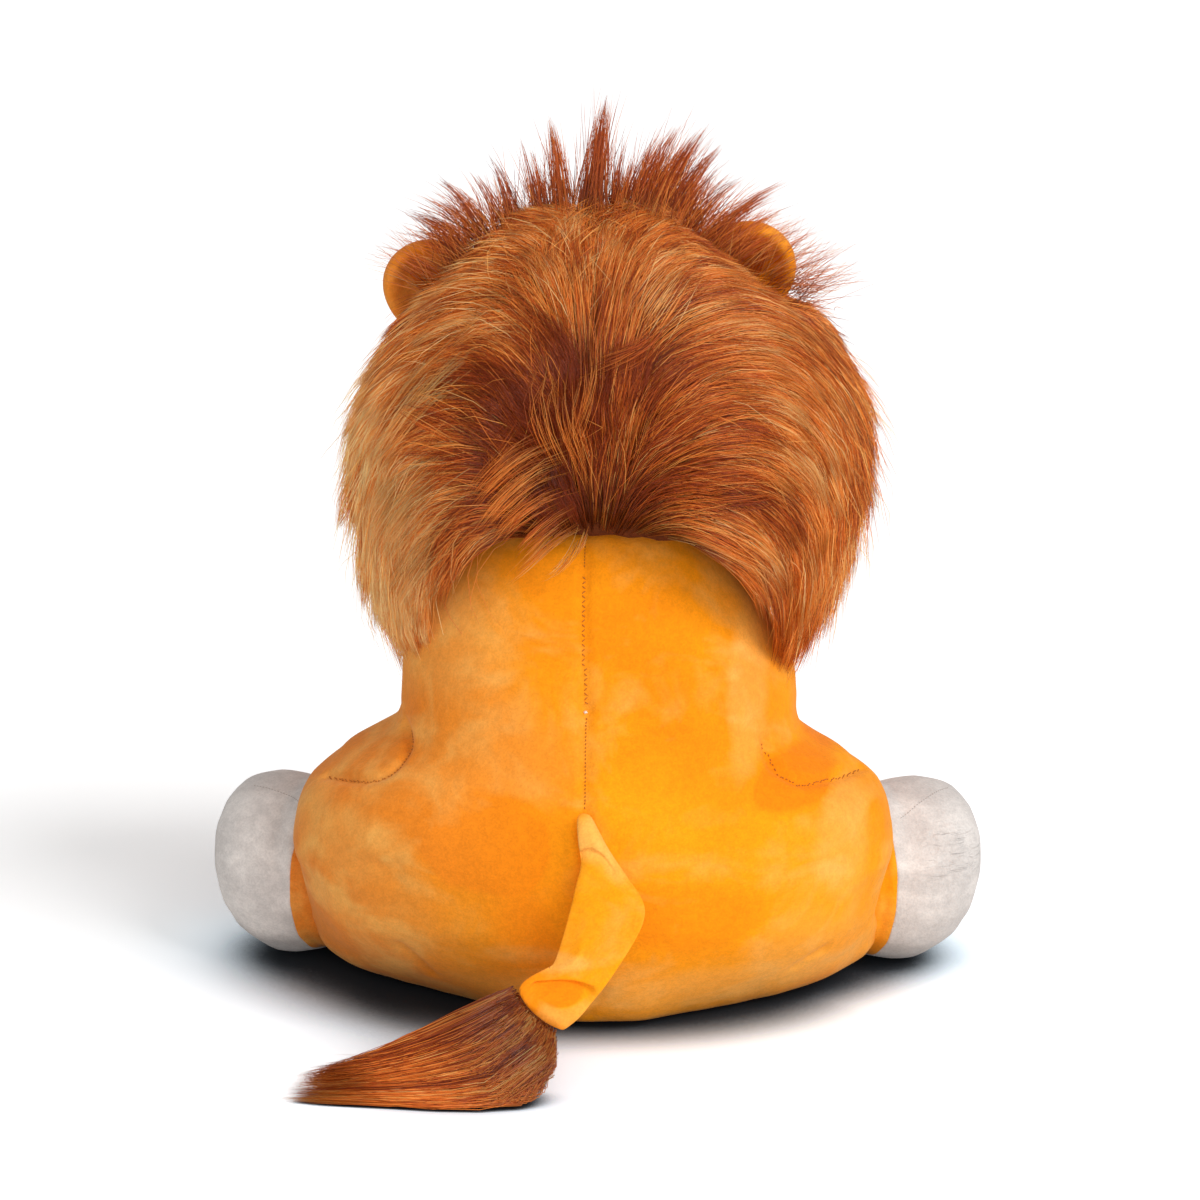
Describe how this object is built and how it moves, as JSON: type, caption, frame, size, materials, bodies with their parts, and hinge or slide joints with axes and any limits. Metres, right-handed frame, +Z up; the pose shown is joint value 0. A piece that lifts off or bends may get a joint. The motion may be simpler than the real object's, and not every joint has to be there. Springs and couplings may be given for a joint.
{
  "type": "plush lion",
  "caption": "Sitting plush lion with a fluffy russet mane, golden body, pale paws, cupped ears and a tufted tail; head, legs, ears, tail and tuft move.",
  "frame": {"origin": "on the floor in the flat underside of the seat, in the middle plane of the toy", "axes": "+Z up, +Y the way the lion faces, +X to its right side as it is seen from behind"},
  "size_m": [0.36, 0.3345, 0.399],
  "materials": {
    "golden_plush": "short dense minky plush, brushed in patches",
    "grey_plush": "short warm grey plush",
    "pale_plush": "short pale plush",
    "russet_fur": "long straight faux fur, slightly glossy",
    "ear_lining": "short darker orange plush",
    "fibre_filling": "loose white polyester fibre",
    "pellet_bag": "plain woven bag of pellets",
    "nose_plush": "dark brown short velour",
    "eye_plastic": "polished dark brown",
    "washer_plastic": "plain natural"
  },
  "bodies": {
    "torso": {"back_panel_left": "golden_plush", "back_panel_right": "golden_plush", "belly_panel": "golden_plush", "seat_panel": "golden_plush", "body_stuffing": "fibre_filling", "pellet_bag": "pellet_bag"},
    "head": {"face_panel": "golden_plush", "head_back_panel": "golden_plush", "head_stuffing": "fibre_filling", "muzzle": "pale_plush", "nose": "nose_plush", "eye_left": "eye_plastic", "eye_right": "eye_plastic", "eye_washer_left": "washer_plastic", "eye_washer_right": "washer_plastic", "mane_crown": "russet_fur", "mane_back_left": "russet_fur", "mane_back_right": "russet_fur", "mane_ruff_left": "russet_fur", "mane_ruff_right": "russet_fur"},
    "ear_left": {"ear_back_left": "golden_plush", "ear_lining_left": "ear_lining"},
    "ear_right": {"ear_back_right": "golden_plush", "ear_lining_right": "ear_lining"},
    "hind_leg_left": {"hind_leg_cover_left": "golden_plush", "hind_paw_cover_left": "grey_plush", "hind_leg_stuffing_left": "fibre_filling"},
    "hind_leg_right": {"hind_leg_cover_right": "golden_plush", "hind_paw_cover_right": "grey_plush", "hind_leg_stuffing_right": "fibre_filling"},
    "front_leg_left": {"front_leg_cover_left": "golden_plush", "front_paw_cover_left": "grey_plush", "front_leg_stuffing_left": "fibre_filling"},
    "front_leg_right": {"front_leg_cover_right": "golden_plush", "front_paw_cover_right": "grey_plush", "front_leg_stuffing_right": "fibre_filling"},
    "tail": {"tail_sleeve": "golden_plush"},
    "tuft": {"tail_tuft": "russet_fur"}
  },
  "joints": [
    {"name": "neck_turn", "type": "hinge", "parent": "torso", "child": "head", "pos_m": [0, -0.008, 0.222], "axis": [0, 0, 1], "range_deg": [-20, 20], "stiffness_Nm_per_rad": 0.6},
    {"name": "ear_fold_left", "type": "hinge", "parent": "head", "child": "ear_left", "pos_m": [-0.065, 0.006, 0.309], "axis": [-0.5949, 0, -0.8038], "range_deg": [-8, 8], "stiffness_Nm_per_rad": 0.02},
    {"name": "ear_fold_right", "type": "hinge", "parent": "head", "child": "ear_right", "pos_m": [0.065, 0.006, 0.309], "axis": [0.5949, 0, -0.8038], "range_deg": [-8, 8], "stiffness_Nm_per_rad": 0.02},
    {"name": "hip_splay_left", "type": "hinge", "parent": "torso", "child": "hind_leg_left", "pos_m": [-0.097, 0.004, 0.047], "axis": [0, 0, 1], "range_deg": [-10, 10], "stiffness_Nm_per_rad": 0.4},
    {"name": "hip_splay_right", "type": "hinge", "parent": "torso", "child": "hind_leg_right", "pos_m": [0.097, 0.004, 0.047], "axis": [0, 0, 1], "range_deg": [-10, 10], "stiffness_Nm_per_rad": 0.4},
    {"name": "shoulder_swing_left", "type": "hinge", "parent": "torso", "child": "front_leg_left", "pos_m": [-0.055, 0.043, 0.152], "axis": [1, 0, 0], "range_deg": [0, 30], "stiffness_Nm_per_rad": 0.3},
    {"name": "shoulder_swing_right", "type": "hinge", "parent": "torso", "child": "front_leg_right", "pos_m": [0.055, 0.043, 0.152], "axis": [1, 0, 0], "range_deg": [0, 30], "stiffness_Nm_per_rad": 0.3},
    {"name": "tail_lift", "type": "hinge", "parent": "torso", "child": "tail", "pos_m": [0, -0.1101, 0.108], "axis": [-1, 0, 0], "range_deg": [0, 40]},
    {"name": "tuft_swing", "type": "hinge", "parent": "tail", "child": "tuft", "pos_m": [-0.019, -0.15, 0.041], "axis": [0, 0, 1], "range_deg": [-15, 15], "stiffness_Nm_per_rad": 0.01}
  ]
}
